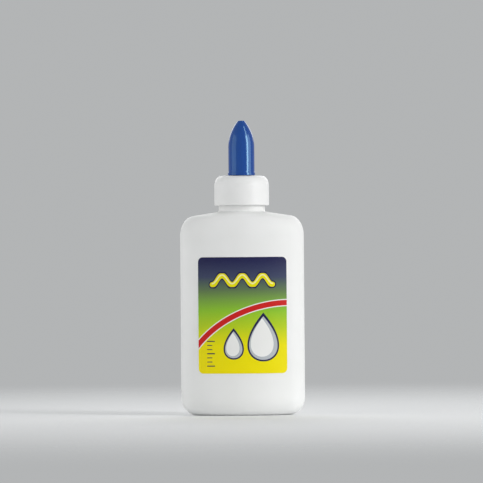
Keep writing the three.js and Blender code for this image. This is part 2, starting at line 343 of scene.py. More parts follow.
def body_outline(turns):
    """Plan outline of the body, a tight arc at each side and a broad one in front and behind, scaled to a
    half width and half depth of 1."""
    quarter = turns * 4
    quadrant = np.floor(quarter).astype(int)
    share = quarter - quadrant
    share = np.where(quadrant % 2 == 1, 1 - share, share)
    along = share * (side_length + front_length)
    side_angle = along / SIDE_RADIUS
    front_angle = side_sweep + (along - side_length) / front_radius
    on_side = along < side_length
    x = np.where(
        on_side,
        half_width - SIDE_RADIUS + SIDE_RADIUS * np.cos(side_angle),
        front_radius * np.cos(front_angle),
    )
    y = np.where(
        on_side,
        SIDE_RADIUS * np.sin(side_angle),
        front_radius * np.sin(front_angle) - front_radius + half_depth,
    )
    sign_x = np.where((quadrant == 1) | (quadrant == 2), -1, 1)
    sign_y = np.where(quadrant >= 2, -1, 1)
    return sign_x * x / half_width, sign_y * y / half_depth


def body_rows(sections, turns):
    """Level rows of points, one for each (width, depth, height, roundness). Roundness 1 gives an ellipse."""
    oval = body_outline(turns)
    circle = np.cos(TAU * turns), np.sin(TAU * turns)
    width, depth, height, roundness = sections.T[:, :, None]
    x = width * (oval[0] + (circle[0] - oval[0]) * roundness)
    y = depth * (oval[1] + (circle[1] - oval[1]) * roundness)
    return np.stack(np.broadcast_arrays(x, y, height), axis=-1)


def sections_of(width, depth, height, roundness=0):
    """Sections for body_rows, from numbers and lists of one length."""
    return np.stack(np.broadcast_arrays(width, depth, height, roundness), axis=-1).astype(float)


def base_sections(inset, count):
    """From the middle of the base out over the push-up and the standing ring, and up round the base edge."""
    foot_width = half_width - BASE_CORNER_WIDTH
    foot_depth = half_depth - BASE_CORNER_DEPTH
    share = np.linspace(0, 1, count)[1:]
    hollow = sections_of(
        (foot_width - STANDING_RING) * share,
        (foot_depth - STANDING_RING) * share,
        inset + PUSH_UP * (1 + np.cos(math.pi * share)) / 2,
    )
    angle = np.linspace(0, QUARTER, count)
    edge = sections_of(
        foot_width + (BASE_CORNER_WIDTH - inset) * np.sin(angle),
        foot_depth + (BASE_CORNER_DEPTH - inset) * np.sin(angle),
        inset + (BASE_CORNER_HEIGHT - inset) * (1 - np.cos(angle)),
    )
    return np.concatenate([hollow, edge])


def wall_sections(inset, count):
    heights = np.linspace(BASE_CORNER_HEIGHT, shoulder_start, count)[1:-1]
    return sections_of(half_width - inset, half_depth - inset, heights)


def shoulder_sections(inset, root_radius, count):
    """Up round the shoulder's corner and in along its tangent to the root of the neck."""
    widest, deepest = half_width - inset, half_depth - inset
    rise = SHOULDER_TOP - inset - shoulder_start
    corner_height = SHOULDER_CORNER_HEIGHT - inset
    centre = widest - SHOULDER_CORNER_WIDTH
    root = (root_radius - centre) / SHOULDER_CORNER_WIDTH, rise / corner_height
    corner_end = math.atan2(root[1], root[0]) - math.acos(1 / math.hypot(*root))
    angle = np.linspace(0, corner_end, count)
    width = centre + SHOULDER_CORNER_WIDTH * np.cos(angle)
    height = shoulder_start + corner_height * np.sin(angle)
    inward = np.append(np.sin(np.linspace(0, LEDGE_END, count // 2))[1:], 1)
    width = np.append(width, width[-1] + (root_radius - width[-1]) * inward)
    height = np.append(height, height[-1] + (shoulder_start + rise - height[-1]) * inward)
    climbed = np.clip((height - shoulder_start) / rise, 0, 1)
    depth = root_radius + (deepest - root_radius) * np.sqrt(1 - climbed**2)
    return sections_of(width, depth, height, (widest - width) / (widest - root_radius))


def round_sections(radius, height):
    return sections_of(radius, radius, height, roundness=1)


def lip_sections():
    """Over the rounded lip, from the outside of the neck to its bore."""
    angle = np.linspace(0, QUARTER, CORNER_ROWS)
    middle = lip - LIP_ROUND
    outer = round_sections(NECK_RADIUS - LIP_ROUND * (1 - np.cos(angle)), middle + LIP_ROUND * np.sin(angle))
    inner = round_sections(NECK_BORE + LIP_ROUND * (1 - np.sin(angle)), middle + LIP_ROUND * np.cos(angle))
    return np.concatenate([outer, inner])


def with_soft_row(rows, index, reach, count):
    """Rows with a soft curve in place of the row at the index, starting and ending at the reach from it."""
    middle = rows[index]
    ends = []
    for neighbour in (rows[index - 1], rows[index + 1]):
        span = neighbour - middle
        length = np.linalg.norm(span, axis=-1, keepdims=True)
        ends.append(middle + span * np.minimum(reach / length, SOFT_ROW_LIMIT))
    share = np.linspace(0, 1, count)[:, None, None]
    curve = soft_curve(ends[0], middle, ends[1], share)
    return np.concatenate([rows[:index], curve, rows[index + 1:]])


def row_normals(rows):
    """Outward directions at the points of rows that go all round."""
    around = np.roll(rows, -1, axis=1) - np.roll(rows, 1, axis=1)
    along = np.gradient(rows, axis=0)
    normal = np.cross(around, along)
    return normal / np.maximum(np.linalg.norm(normal, axis=-1, keepdims=True), SMALLEST_LENGTH)


def seam_ridge(rows):
    """Height of the mould seam: a fine line up the sides, and the broader pinch-off across the base."""
    ridge = eased(1 - np.abs(rows[..., 1]) / SEAM_HALF_WIDTH)
    pinch = eased(1 - rows[..., 2] / PINCH_FADE)
    return ridge * (SEAM_HEIGHT + (PINCH_HEIGHT - SEAM_HEIGHT) * pinch)


def wall_waves(rows):
    """The slight uneven draw of a blown wall, always inwards."""
    waves = np.sin(rows @ np.array(WAVE_RATES).T).mean(axis=-1)
    return -WAVE_DEPTH * (1 + waves) / 2


def bottle_rows():
    """Rows up the outside of the bottle, over the lip and down the inside."""
    turns = body_turns()
    neck = np.arange(neck_bottom, lip - LIP_ROUND, THREAD_ROW)
    outside = np.concatenate(
        [
            base_sections(0, BASE_ROWS),
            wall_sections(0, WALL_ROWS),
            shoulder_sections(0, NECK_RADIUS, SHOULDER_ROWS),
            round_sections(NECK_RADIUS, neck),
        ]
    )
    root = len(outside) - len(neck) - 1
    rows = with_soft_row(body_rows(outside, turns), root, NECK_FILLET, FILLET_ROWS)
    normals = row_normals(rows)
    rows = rows + normals * (seam_ridge(rows) + wall_waves(rows))[..., None]
    rows[..., 2] = np.maximum(rows[..., 2], 0)
    threaded = rows[..., 2] > neck_bottom
    ridge = thread_ridge(rows, neck_thread_start, NECK_THREAD_TURNS, THREAD_ROOT, THREAD_CREST)
    rows = pushed_outwards(rows, NECK_THREAD_HEIGHT * ridge * thread_vents(rows) * threaded)
    inside = np.concatenate(
        [
            base_sections(BODY_WALL, INNER_BASE_ROWS),
            wall_sections(BODY_WALL, INNER_WALL_ROWS),
            shoulder_sections(BODY_WALL, NECK_BORE, INNER_SHOULDER_ROWS),
        ]
    )[::-1]
    return np.concatenate([rows, body_rows(lip_sections(), turns), body_rows(inside, turns)])


def make_bottle():
    first_pole = [0, 0, PUSH_UP - PINCH_HEIGHT]
    last_pole = [0, 0, PUSH_UP + BODY_WALL]
    piece = mesh_object("bottle_shell", *capped_mesh(bottle_rows(), first_pole, last_pole))
    dress(piece, "bottle", "bottle", "bottle_white", bottle_plastic())


def make_glue():
    """The glue up to its level, with a rim that clings a little higher to the wall."""
    inset_width, inset_depth = half_width - GLUE_INSET, half_depth - GLUE_INSET
    side = np.linspace(BASE_CORNER_HEIGHT, glue_level, GLUE_SIDE_ROWS)[1:]
    share = np.linspace(1, 0, GLUE_TOP_ROWS)[1:-1]
    dip = MENISCUS_DROP * (1 - np.exp(-(1 - share) * inset_width / MENISCUS_REACH))
    sections = np.concatenate(
        [
            base_sections(GLUE_INSET, GLUE_BASE_ROWS),
            sections_of(inset_width, inset_depth, side),
            sections_of(inset_width * share, inset_depth * share, glue_level - dip),
        ]
    )
    first_pole = [0, 0, PUSH_UP + GLUE_INSET]
    last_pole = [0, 0, glue_level - MENISCUS_DROP]
    rows = body_rows(sections, body_turns())
    piece = mesh_object("glue_fill", *capped_mesh(rows, first_pole, last_pole))
    dress(piece, "glue", "bottle", "glue_white", wet_glue())


# Label

# The map that places the print, and the middle of the label's width on it
LABEL_MAP = "label"
MAP_MIDDLE = 0.5
LABEL_COLUMNS = 72
LABEL_CORNER_COLUMNS = 10
LABEL_ROWS = 96


def front_points(along, lift):
    """Places on the body's outline at distances from the middle of the front, set out by a lift."""
    distance = np.abs(along)
    side = np.sign(along)
    broad = distance <= front_length
    angle = np.where(broad, distance / front_radius, front_sweep + (distance - front_length) / SIDE_RADIUS)
    radius = np.where(broad, front_radius, SIDE_RADIUS) + lift
    centre_x = np.where(broad, 0, half_width - SIDE_RADIUS)
    centre_y = np.where(broad, front_radius - half_depth, 0)
    return side * (centre_x + radius * np.sin(angle)), centre_y - radius * np.cos(angle)


def label_columns():
    """Distances of the label's columns from its middle, and the length that its corners cut off each end."""
    straight = LABEL_WIDTH / 2 - LABEL_CORNER
    angle = np.linspace(0, QUARTER, LABEL_CORNER_COLUMNS)
    corner_along = straight + LABEL_CORNER * np.sin(angle)
    corner_cut = LABEL_CORNER * (1 - np.cos(angle))
    middle = np.linspace(-straight, straight, LABEL_COLUMNS)[1:-1]
    along = np.concatenate([-corner_along[::-1], middle, corner_along])
    cut = np.concatenate([corner_cut[::-1], np.zeros(len(middle)), corner_cut])
    return along, cut


def label_points(along, cut, lift):
    """Points of one face of the label, column by column. Columns in the rounded corners are cut shorter."""
    x, y = front_points(along, lift)
    share = np.linspace(0, 1, LABEL_ROWS)[None, :]
    low = (label_bottom + cut)[:, None]
    high = (label_top - cut)[:, None]
    grid = np.stack(np.broadcast_arrays(x[:, None], y[:, None], low + (high - low) * share), axis=-1)
    return grid.reshape(-1, 3)


def label_faces(columns):
    """Faces of the label's front, and those of its back and of the rim that joins them."""
    count = columns * LABEL_ROWS
    index = np.arange(count).reshape(columns, LABEL_ROWS)
    corners = [index[:-1, :-1], index[1:, :-1], index[1:, 1:], index[:-1, 1:]]
    front = np.stack(corners, axis=-1).reshape(-1, 4)
    edge = np.concatenate([index[:-1, 0], index[-1, :-1], index[:0:-1, -1], index[0, :0:-1]])
    after = np.roll(edge, -1)
    rim = np.stack([after, edge, edge + count, after + count], axis=-1)
    return front, np.concatenate([front[:, ::-1] + count, rim])


def make_label():
    """The label, printed in front and of plain paper behind and round its rim."""
    along, cut = label_columns()
    lifts = LABEL_FRONT, LABEL_BACK
    points = np.concatenate([label_points(along, cut, lift) for lift in lifts])
    front, rest = label_faces(len(along))
    piece = mesh_object("label_sheet", points, np.concatenate([front, rest]).tolist())
    mesh = piece.data
    mesh.set_sharp_from_angle(angle=SHARP_ANGLE)
    mesh.polygons.foreach_set("material_index", np.repeat([0, 1], [len(front), len(rest)]))
    across = np.tile(np.repeat(along / LABEL_WIDTH + MAP_MIDDLE, LABEL_ROWS), len(lifts))
    up = (points[:, 2] - label_bottom) / (label_top - label_bottom)
    places = np.stack([across, up], axis=-1)
    corners = [loop.vertex_index for loop in mesh.loops]
    mesh.uv_layers.new(name=LABEL_MAP).uv.foreach_set("vector", places[corners].astype(np.float32).ravel())
    dress(piece, "front_label", "bottle", "label_print", printed_film(), label_paper())


# Screw cap, liner and nozzle

TURNED_COLUMNS = 144
CAP_CORNER_ROWS = 24
CAP_INNER_ROWS = 12
PIN_COLUMNS = 48
PIN_ROWS = 8
FOOT_ROWS = 10
NOZZLE_ROWS = 40
NOZZLE_INNER_ROWS = 20
# Longest straight runs of the profiles
CAP_STEP = 0.9
LINER_STEP = 0.5
NOZZLE_STEP = 0.7
# Points nearer than this become one where solids are joined
WELD_REACH = 0.002


def turned_object(name, rows):
    """An object from rows that go all round, of which the last meets the first."""
    return mesh_object(name, rows.reshape(-1, 3), ring_faces(len(rows), TURNED_COLUMNS, closed=True))


def cap_rows():
    """Skirt, deck and spout in one turned form, with the thread inside the skirt."""
    corner_centre = cap_radius - CAP_CORNER_WIDTH, deck_top - CAP_CORNER_HEIGHT
    inner_across = CAP_CORNER_WIDTH - (cap_radius - CAP_BORE)
    inner_up = CAP_CORNER_HEIGHT - DECK_THICKNESS
    threaded = np.arange(corner_centre[1] - THREAD_ROW, skirt_bottom + 2 * SKIRT_EDGE, -THREAD_ROW)
    corners = [
        (CAP_BORE, skirt_bottom, SKIRT_EDGE),
        (cap_radius, skirt_bottom, SKIRT_EDGE),
        *ellipse_arc(corner_centre, CAP_CORNER_WIDTH, CAP_CORNER_HEIGHT, 0, QUARTER, CAP_CORNER_ROWS),
        (spout_radius, deck_top, SPOUT_EDGE),
        (spout_radius, bead_bottom, SPOUT_EDGE),
        (bead_radius, bead_bottom, SPOUT_EDGE),
        (bead_radius, bead_top - BEAD_DEPTH, SPOUT_EDGE),
        (spout_radius, bead_top, SPOUT_EDGE),
        (spout_radius, spout_top, SPOUT_EDGE),
        (spout_bore, spout_top, SPOUT_EDGE),
        (spout_bore, deck_underside, SPOUT_EDGE),
        *ellipse_arc(corner_centre, inner_across, inner_up, QUARTER, 0, CAP_INNER_ROWS),
        *[(CAP_BORE, height, 0) for height in threaded],
    ]
    rows = turned(soft_profile(corners, CAP_STEP), TURNED_COLUMNS)
    radius = np.hypot(rows[..., 0], rows[..., 1])
    height = rows[..., 2]
    inside = (np.abs(radius - CAP_BORE) < SKIRT_EDGE) & (height > skirt_bottom + SKIRT_EDGE)
    ridge = thread_ridge(rows, cap_thread_start, CAP_THREAD_TURNS, CAP_THREAD_ROOT, CAP_THREAD_CREST)
    return pushed_outwards(rows, -CAP_THREAD_HEIGHT * ridge * inside)


def make_pin():
    """Tapered sealing pin that stands in the spout and ends in the nozzle's mouth."""
    taper_heights = np.linspace(spout_top, pin_top - NOZZLE_TRAVEL, PIN_ROWS)
    taper_radii = np.linspace(PIN_ROOT_RADIUS, PIN_RADIUS, PIN_ROWS)
    angle = np.linspace(0, QUARTER, CORNER_ROWS)
    radii = np.concatenate([[PIN_ROOT_RADIUS], taper_radii, PIN_RADIUS - PIN_ROUND * (1 - np.cos(angle))])
    heights = np.concatenate([[web_bottom], taper_heights, pin_top - PIN_ROUND * (1 - np.sin(angle))])
    rows = turned(np.stack([radii, heights], axis=-1), PIN_COLUMNS)
    return mesh_object("pin", *capped_mesh(rows, [0, 0, web_bottom], [0, 0, pin_top]))


def make_web(index):
    """One of the thin walls that carry the pin in the spout, a strip with a rounded lower edge."""
    half = WEB_THICKNESS / 2
    sweep = np.linspace(math.pi, TAU, CORNER_ROWS)
    section = [(half * math.cos(a), web_bottom + half + half * math.sin(a)) for a in sweep]
    section += [(half, web_top), (-half, web_top)]
    reaches = PIN_RADIUS / 2, spout_bore + SPOUT_WALL / 2
    points = np.array([(reach, across, height) for reach in reaches for across, height in section])
    angle = index / WEB_COUNT * TAU
    cosine, sine = math.cos(angle), math.sin(angle)
    turn = np.array([[cosine, -sine, 0], [sine, cosine, 0], [0, 0, 1]])
    count = len(section)
    faces = ring_faces(len(reaches), count)
    faces += [list(range(count))[::-1], list(range(count, 2 * count))]
    return mesh_object(f"web_{index}", points @ turn.T, faces)


def join_solids(main, others):
    """Makes the main object one closed mesh together with the others, which go, and welds doubled points."""
    for other in others:
        modifier = main.modifiers.new(other.name, "BOOLEAN")
        modifier.operation = "UNION"
        modifier.solver = "EXACT"
        modifier.object = other
    view = bpy.context.evaluated_depsgraph_get()
    mesh = bpy.data.meshes.new_from_object(main.evaluated_get(view))
    welded = bmesh.new()
    welded.from_mesh(mesh)
    bmesh.ops.remove_doubles(welded, verts=welded.verts, dist=WELD_REACH * MM)
    welded.to_mesh(mesh)
    welded.free()
    main.modifiers.clear()
    main.data = mesh
    for other in others:
        bpy.data.objects.remove(other)


def make_cap():
    piece = turned_object("cap_shell", cap_rows())
    join_solids(piece, [make_pin(), *[make_web(index) for index in range(WEB_COUNT)]])
    piece.data.set_sharp_from_angle(angle=SHARP_ANGLE)
    dress(piece, "screw_cap", "screw_cap", "cap_white", cap_plastic())


def make_liner():
    corners = [
        (LINER_BORE, liner_bottom, LINER_ROUND),
        (liner_radius, liner_bottom, LINER_ROUND),
        (liner_radius, liner_top, LINER_ROUND),
        (LINER_BORE, liner_top, LINER_ROUND),
    ]
    piece = turned_object("liner_ring", turned(soft_profile(corners, LINER_STEP), TURNED_COLUMNS))
    dress(piece, "cap_liner", "liner", "liner_foam", liner_foam())


def nozzle_corners():
    """Profile of a hollow bullet whose inner and outer curves share one centre, with its rib and foot."""
    shoulder = nozzle_tip - NOZZLE_EDGE
    barrel_top = nozzle_base + BARREL_HEIGHT
    rise = shoulder - barrel_top
    fall = BARREL_RADIUS - NOZZLE_TIP_RADIUS
    outer = (rise**2 + fall**2) / (2 * fall)
    inner = outer - NOZZLE_WALL
    centre = BARREL_RADIUS - outer, barrel_top
    edge_centre = NOZZLE_TIP_RADIUS - NOZZLE_EDGE, shoulder
    outer_end = math.asin(rise / outer)
    inner_end = math.acos((orifice_radius - centre[0]) / inner)
    rib_radius = spout_radius + RUN_GAP
    rib_depth = nozzle_bore - rib_radius
    rib_bottom = rib_top - RIB_HEIGHT
    foot = [
        (
            nozzle_foot - (nozzle_foot - BARREL_RADIUS) * eased(share),
            nozzle_base + FOOT_HEIGHT + FOOT_EASE * share,
            0,
        )
        for share in np.linspace(0, 1, FOOT_ROWS)
    ]
    return [
        (nozzle_bore, nozzle_base, NOZZLE_EDGE),
        (nozzle_foot, nozzle_base, NOZZLE_EDGE),
        *foot,
        *ellipse_arc(centre, outer, outer, 0, outer_end, NOZZLE_ROWS),
        *ellipse_arc(edge_centre, NOZZLE_EDGE, NOZZLE_EDGE, 0, QUARTER, CORNER_ROWS)[1:],
        (orifice_radius, nozzle_tip, MOUTH_EDGE),
        *ellipse_arc(centre, inner, inner, inner_end, 0, NOZZLE_INNER_ROWS),
        (nozzle_bore, rib_top, 0),
        (rib_radius, rib_top, 0),
        (rib_radius, rib_bottom + rib_depth, 0),
        (nozzle_bore, rib_bottom, 0),
    ]


def make_nozzle():
    rows = turned(soft_profile(nozzle_corners(), NOZZLE_STEP), TURNED_COLUMNS)
    piece = turned_object("nozzle_shell", rows)
    piece.data.set_sharp_from_angle(angle=SHARP_ANGLE)
    dress(piece, "nozzle", "nozzle", "nozzle_blue", nozzle_plastic())


# Materials

# Pairs of colours between which each material varies, and the tint of the nozzle's gloss
BOTTLE_WHITES = (0.865, 0.868, 0.855), (0.895, 0.897, 0.888)
CAP_WHITES = (0.875, 0.877, 0.868), (0.9, 0.901, 0.894)
NOZZLE_BLUES = (0.0012, 0.041, 0.275), (0.0025, 0.05, 0.311)
NOZZLE_SHEEN = (0.5, 0.86, 1)
GLUE_WHITES = (0.9, 0.89, 0.84), (0.94, 0.935, 0.9)
FOAM_WHITES = (0.8, 0.8, 0.77), (0.7, 0.7, 0.67)
PAPER_WHITES = (0.8, 0.8, 0.78), (0.88, 0.88, 0.86)
FLOOR_WHITES = (0.86, 0.87, 0.875), (0.9, 0.91, 0.915)
# Multiples of a pattern's scale along each axis, which draw it out up the bottle's wall and the nozzle
DRAW_STRETCH = (1, 1, 0.012)
FLOW_STRETCH = (1, 1, 0.35)
# Heights of the draw lines, flow marks and fine grain, as shares of the relief that they are part of
DRAW_LINES = 0.4
FLOW_MARKS = 0.08
FLOW_GRAIN = 0.008
# Ranges that a field is spread from or held to
WHOLE = (0, 1)
BROAD_NOISE = (0.3, 0.7)
FINE_NOISE = (0.35, 0.65)
# Places of the colour sockets on a mix node
MIX_SHARE = 0
MIX_BELOW = 6
MIX_ABOVE = 7
MIX_RESULT = 2


class Field:
    """A number that varies over a surface, held by a node's output, with the usual operators."""

    def __init__(self, tree, socket):
        self.tree = tree
        self.socket = socket

    def worked(self, operation, *others):
        """The result of a math node on this field and others."""
        node = self.tree.nodes.new("ShaderNodeMath")
        node.operation = operation
        for slot, value in zip(node.inputs, (self, *others)):
            connect(self.tree, value, slot)
        return Field(self.tree, node.outputs["Value"])

    def __add__(self, other):
        return self.worked("ADD", other)

    def __sub__(self, other):
        return self.worked("SUBTRACT", other)

    def __mul__(self, other):
        return self.worked("MULTIPLY", other)

    def __truediv__(self, other):
        return self.worked("DIVIDE", other)

    def root(self):
        return self.worked("SQRT")

    def size(self):
        return self.worked("ABSOLUTE")

    def least(self, other):
        return self.worked("MINIMUM", other)

    def most(self, other):
        return self.worked("MAXIMUM", other)

    def ranged(self, source, target, gently=False):
        """Maps a source range on a target range, held there, with soft ends where it is done gently."""
        node = self.tree.nodes.new("ShaderNodeMapRange")
        node.interpolation_type = "SMOOTHSTEP" if gently else "LINEAR"
        names = "Value", "From Min", "From Max", "To Min", "To Max"
        for name, value in zip(names, (self, *source, *target)):
            connect(self.tree, value, node.inputs[name])
        return Field(self.tree, node.outputs["Result"])


def connect(tree, value, slot):
    """Gives a socket a plain value, or links what varies to it."""
    if isinstance(value, Field):
        tree.links.new(value.socket, slot)
    elif isinstance(value, bpy.types.NodeSocket):
        tree.links.new(value, slot)
    else:
        slot.default_value = value


def opaque(colour):
    return (*colour, 1)


class Look:
    """A material in the making, with plain values on its shader's sockets to start with."""

    def __init__(self, name, **sockets):
        self.material = bpy.data.materials.new(name)
        self.material.use_nodes = True
        self.tree = self.material.node_tree
        self.shader = self.tree.nodes["Principled BSDF"]
        for socket, value in sockets.items():
            self.shader.inputs[socket.replace("_", " ")].default_value = value

    def place(self):
        """Socket of the piece's own coordinates, in metres."""
        return self.tree.nodes.new("ShaderNodeTexCoord").outputs["Object"]

    def noise(self, scale, detail=2, stretch=(1, 1, 1)):
        """Noise of a scale to the metre, which the stretch multiplies along each axis."""
        mapping = self.tree.nodes.new("ShaderNodeMapping")
        mapping.inputs["Scale"].default_value = stretch
        texture = self.tree.nodes.new("ShaderNodeTexNoise")
        texture.inputs["Scale"].default_value = scale
        texture.inputs["Detail"].default_value = detail
        self.tree.links.new(self.place(), mapping.inputs["Vector"])
        self.tree.links.new(mapping.outputs["Vector"], texture.inputs["Vector"])
        return Field(self.tree, texture.outputs["Fac"])

    def cells(self, scale):
        """Distance from the middle of round cells of a scale to the metre."""
        texture = self.tree.nodes.new("ShaderNodeTexVoronoi")
        texture.inputs["Scale"].default_value = scale
        self.tree.links.new(self.place(), texture.inputs["Vector"])
        return Field(self.tree, texture.outputs["Distance"])

    def mixed(self, below, above, share):
        """Socket of two colours mixed by a share."""
        node = self.tree.nodes.new("ShaderNodeMix")
        node.data_type = "RGBA"
        connect(self.tree, share, node.inputs[MIX_SHARE])
        connect(self.tree, below, node.inputs[MIX_BELOW])
        connect(self.tree, above, node.inputs[MIX_ABOVE])
        return node.outputs[MIX_RESULT]

    def colour(self, colours, share):
        """Colours the surface with patches of two colours."""
        below, above = colours
        connect(self.tree, self.mixed(opaque(below), opaque(above), share), self.shader.inputs["Base Color"])

    def roughness(self, field, source, low, high):
        """Roughness from low to high over a range of a field."""
        connect(self.tree, field.ranged(source, (low, high)), self.shader.inputs["Roughness"])

    def relief(self, height, depth):
        """Bump of a depth, from a height of 0 to 1."""
        bump = self.tree.nodes.new("ShaderNodeBump")
        bump.inputs["Distance"].default_value = depth * MM
        connect(self.tree, height, bump.inputs["Height"])
        self.tree.links.new(bump.outputs["Normal"], self.shader.inputs["Normal"])


def bottle_plastic():
    """Blow-moulded polyethylene: satin white, faintly cloudy, with fine draw lines up the wall."""
    look = Look("bottle_white", IOR=1.53, Specular_IOR_Level=0.35)
    cloud = look.noise(scale=55)
    lines = look.noise(scale=900, detail=1, stretch=DRAW_STRETCH)
    grain = look.noise(scale=2200, detail=1)
    look.colour(BOTTLE_WHITES, cloud.ranged(BROAD_NOISE, WHOLE))
    look.roughness((lines + grain) / 2, FINE_NOISE, low=0.48, high=0.6)
    look.relief(lines * DRAW_LINES + grain, depth=0.02)
    return look.material


def cap_plastic():
    """Injection-moulded polypropylene: a cleaner, slightly shinier white than the bottle's."""
    look = Look("cap_white", IOR=1.5, Specular_IOR_Level=0.4)
    cloud = look.noise(scale=120)
    grain = look.noise(scale=2600, detail=1)
    look.colour(CAP_WHITES, cloud.ranged(BROAD_NOISE, WHOLE))
    look.roughness(grain, FINE_NOISE, low=0.34, high=0.44)
    look.relief(grain, depth=0.015)
    return look.material


def nozzle_plastic():
    """Glossy deep blue polypropylene with faint flow marks."""
    look = Look("nozzle_blue", IOR=1.5, Specular_IOR_Level=1, Specular_Tint=opaque(NOZZLE_SHEEN))
    flow = look.noise(scale=160, detail=3, stretch=FLOW_STRETCH).ranged(BROAD_NOISE, WHOLE)
    fine = look.noise(scale=1400, detail=1)
    look.colour(NOZZLE_BLUES, flow)
    look.roughness(fine, FINE_NOISE, low=0.13, high=0.16)
    look.relief(flow * FLOW_MARKS + fine * FLOW_GRAIN, depth=0.005)
    return look.material


def wet_glue():
    """Thick white liquid with a wet surface."""
    look = Look("glue_white", IOR=1.45, Coat_Weight=0.5, Coat_Roughness=0.08)
    swirl = look.noise(scale=90).ranged(BROAD_NOISE, WHOLE)
    look.colour(GLUE_WHITES, swirl)
    look.roughness(swirl, WHOLE, low=0.18, high=0.28)
    look.relief(swirl, depth=0.1)
    return look.material


def liner_foam():
    """Pale closed-cell foam."""
    look = Look("liner_foam", IOR=1.45)
    cell = look.cells(scale=2500)
    look.colour(FOAM_WHITES, cell)
    look.roughness(cell, WHOLE, low=0.7, high=0.85)
    look.relief(cell, depth=0.08)
    return look.material


def label_paper():
    """White edge and back of the label."""
    look = Look("label_paper", IOR=1.45)
    fibre = look.noise(scale=3000, detail=3)
    look.colour(PAPER_WHITES, fibre)
    look.roughness(fibre, BROAD_NOISE, low=0.55, high=0.7)
    look.relief(fibre, depth=0.02)
    return look.material


# Print on the label

INK_NAVY = (0.0125, 0.012, 0.07)
INK_SLATE = (0.05, 0.062, 0.125)
INK_MOSS = (0.12, 0.19, 0.085)
INK_GREEN = (0.27, 0.55, 0.03)
INK_LIME = (0.48, 0.64, 0.015)
INK_YELLOW = (0.86, 0.77, 0)
INK_GOLD = (0.92, 0.78, 0)
INK_CREAM = (0.95, 0.9, 0.42)
INK_RED = (0.62, 0.016, 0.014)
INK_WHITE = (0.88, 0.88, 0.86)
INK_SHADE = (0.5, 0.53, 0.56)
# Inks down the label, at shares of its height
GRADIENT = (
    (0, INK_NAVY),
    (0.17, INK_SLATE),
    (0.28, INK_MOSS),
    (0.46, INK_GREEN),
    (0.6, INK_LIME),
    (0.76, INK_YELLOW),
    (1, INK_GOLD),
)
PRINT_BLUR = 0.14
# A ribbon, a squiggle of glue, drops and a scale, measured from the middle of the label's lower edge
RIBBON_CENTRE = (22.7, -26)
RIBBON_RADIUS = 60
RIBBON_HALF = 1.3
RIBBON_BORDER = 0.45
SQUIGGLE_MIDDLE = 45
SQUIGGLE_HALF = 1.2
SQUIGGLE_BORDER = 0.6
SQUIGGLE_SWING = 2.1
SQUIGGLE_WAVE = 9.8
SQUIGGLE_HALF_WAVES = 3
GLINT_RISE = 0.4
GLINT_HALF = 0.3
# Layers of the drops: ink, middle, foot, height and half width
DROPS = (
    (INK_NAVY, 10, 5.7, 23.6, 7.8),
    (INK_SHADE, 10, 6.5, 21, 7),
    (INK_WHITE, 9.4, 8, 18.5, 5.6),
    (INK_NAVY, -4.4, 6.7, 15.2, 4.9),
    (INK_SHADE, -4.4, 7.4, 13, 4.2),
    (INK_WHITE, -4.8, 8.4, 11.3, 3.2),
)
# Share of its height where a drop is widest, and about the cosine of its sides' slant
DROP_WAIST = 1 / 3
DROP_SLANT = 0.85
# Marks of the scale: spacing, half thickness and where they end
SCALE_MIDDLE = 9.6
SCALE_REACH = 6.2
SCALE_START = -17.5
SCALE_MARKS = ((2, 0.2, -14.9), (6, 0.28, -13.6))
# Pale specks where the print is worn: the range of noise over which they show, and their greatest share
WEAR_NOISE = (0.45, 0.8)
WEAR = 0.025


def covered(distance):
    """Share of ink from a distance that is negative inside a shape."""
    return distance.ranged((-PRINT_BLUR / 2, PRINT_BLUR / 2), (1, 0))


def drop_distance(x, y, foot, height, half):
    """A drop with a round foot and a pointed top."""
    share = (y - foot) / height
    swell = share.most(0).root() * (share * -1 + 1).most(0)
    widest = math.sqrt(DROP_WAIST) * (1 - DROP_WAIST)
    side = (x.size() - swell * (half / widest)) * DROP_SLANT
    return side.most(share * -height).most(y - (foot + height))


def disc_distance(x, y, radius):
    return (x * x + y * y).root() - radius


def ribbon_distance(x, y, half):
    """A band of even width along a wide arc."""
    return disc_distance(x - RIBBON_CENTRE[0], y - RIBBON_CENTRE[1], RIBBON_RADIUS).size() - half


def squiggle_distance(x, y, middle, half):
    """A thick line along a cosine wave, with round ends where the wave is level."""
    rate = TAU / SQUIGGLE_WAVE
    phase = x * rate
    slope = phase.worked("SINE") * (SQUIGGLE_SWING * rate)
    across = (y - middle - phase.worked("COSINE") * SQUIGGLE_SWING).size()
    wave = across / (slope * slope + 1).root() - half
    beyond = x.size() - SQUIGGLE_HALF_WAVES * SQUIGGLE_WAVE / 2
    end_rise = SQUIGGLE_SWING * (-1) ** SQUIGGLE_HALF_WAVES
    return wave.most(beyond).least(disc_distance(beyond, y - middle - end_rise, half))


def mark_distance(x, y, spacing, half, end):
    """A row of level marks up the scale."""
    along = y - SCALE_MIDDLE
    half_step = 0.5
    nearest = (along / spacing + half_step).worked("FRACT") - half_step
    marks = (nearest * spacing).size() - half
    middle = (SCALE_START + end) / 2
    return marks.most((x - middle).size() - (end - SCALE_START) / 2).most(along.size() - SCALE_REACH)


